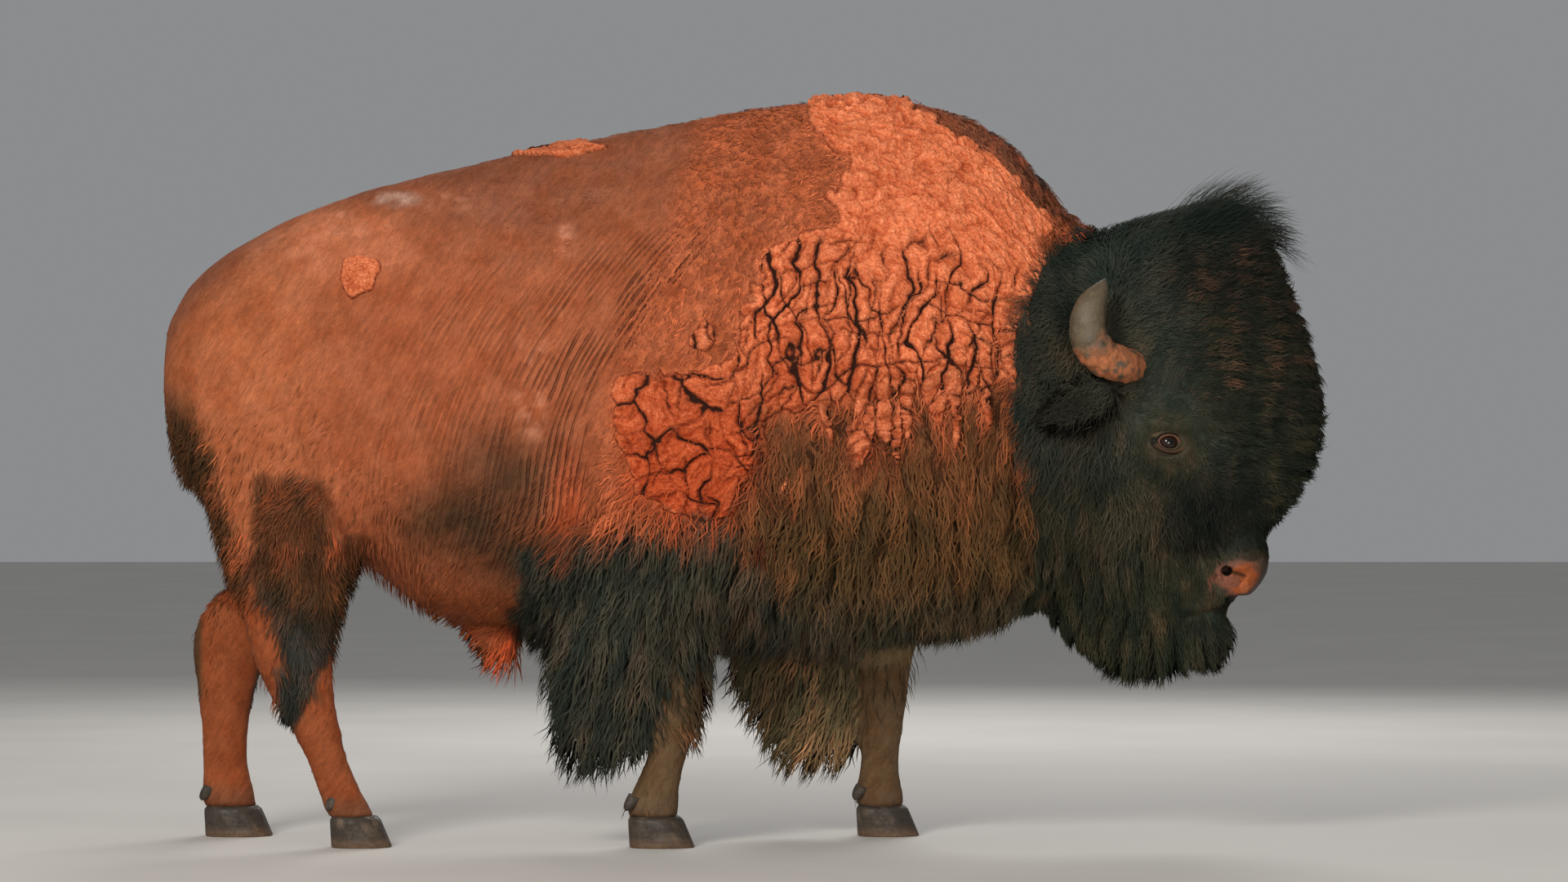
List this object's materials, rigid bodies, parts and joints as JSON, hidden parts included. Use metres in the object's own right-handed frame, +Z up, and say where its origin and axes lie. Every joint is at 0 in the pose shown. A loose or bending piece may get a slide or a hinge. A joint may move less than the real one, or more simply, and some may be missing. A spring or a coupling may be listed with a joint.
{
  "type": "bison",
  "caption": "Life-size standing bull bison: high woolly hump with matted wool, dark shaggy head and beard, short upturned horns, long foreleg hair, short-haired hindquarters.",
  "frame": {"origin": "on the floor under the middle of the animal", "axes": "+X from rump to forehead, +Y to the animal's left, +Z up"},
  "size_m": [2.8243, 0.7318, 1.8224],
  "materials": {
    "dark_wool": "long dark brown-black wool, dull",
    "brown_hair": "dark reddish-brown hair, dull",
    "red_hair": "short reddish-brown hair and matted orange-brown wool, dull",
    "nose_leather": "bare moist skin of the nose, slight sheen",
    "horn": "grey-olive keratin, satin, with dried clay at the base",
    "hoof": "dark keratin, matte",
    "eye": "dark brown, wet and glossy"
  },
  "bodies": {
    "root": {"head": "dark_wool", "beard": "dark_wool", "muzzle": "nose_leather", "neck": "brown_hair", "forequarters": "red_hair", "barrel": "red_hair", "hindquarters": "red_hair", "sheath": "red_hair", "tail": "brown_hair", "ear_right": "dark_wool", "ear_left": "dark_wool", "eye_right": "eye", "eye_left": "eye", "horn_right": "horn", "horn_left": "horn", "leg_fore_right": "dark_wool", "shin_fore_right": "brown_hair", "hoof_fore_right": "hoof", "leg_fore_left": "dark_wool", "shin_fore_left": "brown_hair", "hoof_fore_left": "hoof", "leg_hind_right": "red_hair", "shin_hind_right": "brown_hair", "hoof_hind_right": "hoof", "leg_hind_left": "red_hair", "shin_hind_left": "brown_hair", "hoof_hind_left": "hoof"}
  },
  "joints": []
}
